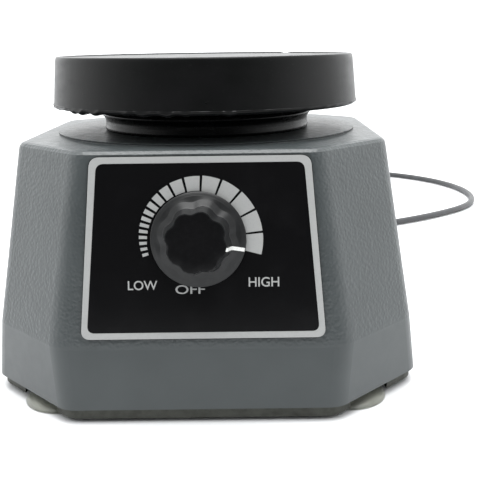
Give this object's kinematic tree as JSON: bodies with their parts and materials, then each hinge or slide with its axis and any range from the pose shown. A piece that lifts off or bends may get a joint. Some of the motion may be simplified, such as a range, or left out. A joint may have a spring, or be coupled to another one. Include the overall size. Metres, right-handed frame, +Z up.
{
  "type": "vortex mixer",
  "caption": "Bench vortex mixer: tapered eight-sided grey housing, front speed dial, and a round black rubber platform on a neck that orbits in a small circle.",
  "frame": {"origin": "on the table, at the middle of the mixer's footprint without its lead (dial front to strain relief tip)", "axes": "+Z up, the dial faces -Y, +X to the right seen from the front; the motor's axis is parallel to Z at y = -7.2 mm"},
  "size_m": [0.2327, 0.4253, 0.101],
  "materials": {
    "housing_paint": "textured slate grey enamel",
    "panel_black": "gloss black with light grey print",
    "knob_black": "satin black moulded plastic",
    "black_rubber": "smooth black rubber, slightly glossy",
    "foot_rubber": "translucent white silicone",
    "zinc_steel": "zinc plated steel",
    "black_steel": "black painted sheet steel",
    "machined_steel": "turned steel",
    "bearing_steel": "ground and polished",
    "cast_aluminium": "as cast",
    "lamination": "stacked electrical steel",
    "bobbin_plastic": "natural nylon",
    "copper_wire": "enamelled copper",
    "bronze": "sintered bronze",
    "fan_plastic": "black nylon",
    "board_laminate": "green glass-epoxy board",
    "capacitor_resin": "yellow film capacitor",
    "component_black": "moulded black resin",
    "ferrite": "wound ferrite ring",
    "fuse_glass": "clear glass tube",
    "terminal_green": "green terminal block",
    "pot_metal": "pressed steel can",
    "lead_grey": "dark grey PVC sheath",
    "plug_black": "moulded black PVC",
    "pin_brass": "nickelled brass",
    "wire_pvc": "PVC insulated wire"
  },
  "bodies": {
    "housing": {"housing": "housing_paint", "control_panel": "panel_black", "base_plate": "black_steel", "base_screws": "zinc_steel", "foot_front_left": "foot_rubber", "foot_front_right": "foot_rubber", "foot_back_left": "foot_rubber", "foot_back_right": "foot_rubber", "rubber_boot": "black_rubber", "potentiometer": "pot_metal", "potentiometer_nut": "zinc_steel", "motor_plate": "zinc_steel", "motor_grommets": "black_rubber", "motor_plate_screws": "zinc_steel", "motor_core": "lamination", "coil_bobbin": "bobbin_plastic", "coil_winding": "copper_wire", "motor_top_bracket": "cast_aluminium", "motor_bottom_bracket": "cast_aluminium", "top_bearing": "bronze", "bottom_bearing": "bronze", "motor_tie_screws": "zinc_steel", "motor_tie_nuts": "zinc_steel", "circuit_board": "board_laminate", "board_standoffs": "bobbin_plastic", "board_screws": "zinc_steel", "film_capacitor": "capacitor_resin", "triac": "component_black", "heat_sink": "cast_aluminium", "choke": "ferrite", "fuse": "fuse_glass", "fuse_clips": "zinc_steel", "terminal_block": "terminal_green", "wiring": "wire_pvc", "strain_relief": "black_rubber", "power_cord": "lead_grey", "power_cord_coil": "lead_grey", "power_cord_end": "lead_grey", "plug": "plug_black", "plug_pins": "pin_brass"},
    "rotor": {"motor_shaft": "machined_steel", "rotor_core": "lamination", "cooling_fan": "fan_plastic", "eccentric_crank": "machined_steel", "crank_set_screw": "black_steel", "counterweight": "machined_steel", "bearing_inner_rings": "bearing_steel", "crank_washer": "zinc_steel", "crank_screw": "zinc_steel"},
    "platform": {"platform_plate": "cast_aluminium", "platform_rubber": "black_rubber", "bearing_outer_rings": "bearing_steel", "bearing_balls": "bearing_steel"},
    "dial": {"knob": "knob_black", "knob_cap": "knob_black", "pot_shaft": "machined_steel"}
  },
  "joints": [
    {"name": "motor_spin", "type": "hinge", "parent": "housing", "child": "rotor", "pos_m": [0, -0.0072, 0.07], "axis": [0, 0, 1], "continuous": true},
    {"name": "platform_orbit", "type": "hinge", "parent": "rotor", "child": "platform", "pos_m": [0, -0.0092, 0.087], "axis": [0, 0, 1], "continuous": true},
    {"name": "dial_turn", "type": "hinge", "parent": "housing", "child": "dial", "pos_m": [0, -0.06635, 0.0524], "axis": [0, -0.9888, 0.1493], "range_deg": [0, 270]}
  ],
  "couplings": [
    {"joint": "platform_orbit", "follows": "motor_spin", "ratio": -1}
  ]
}
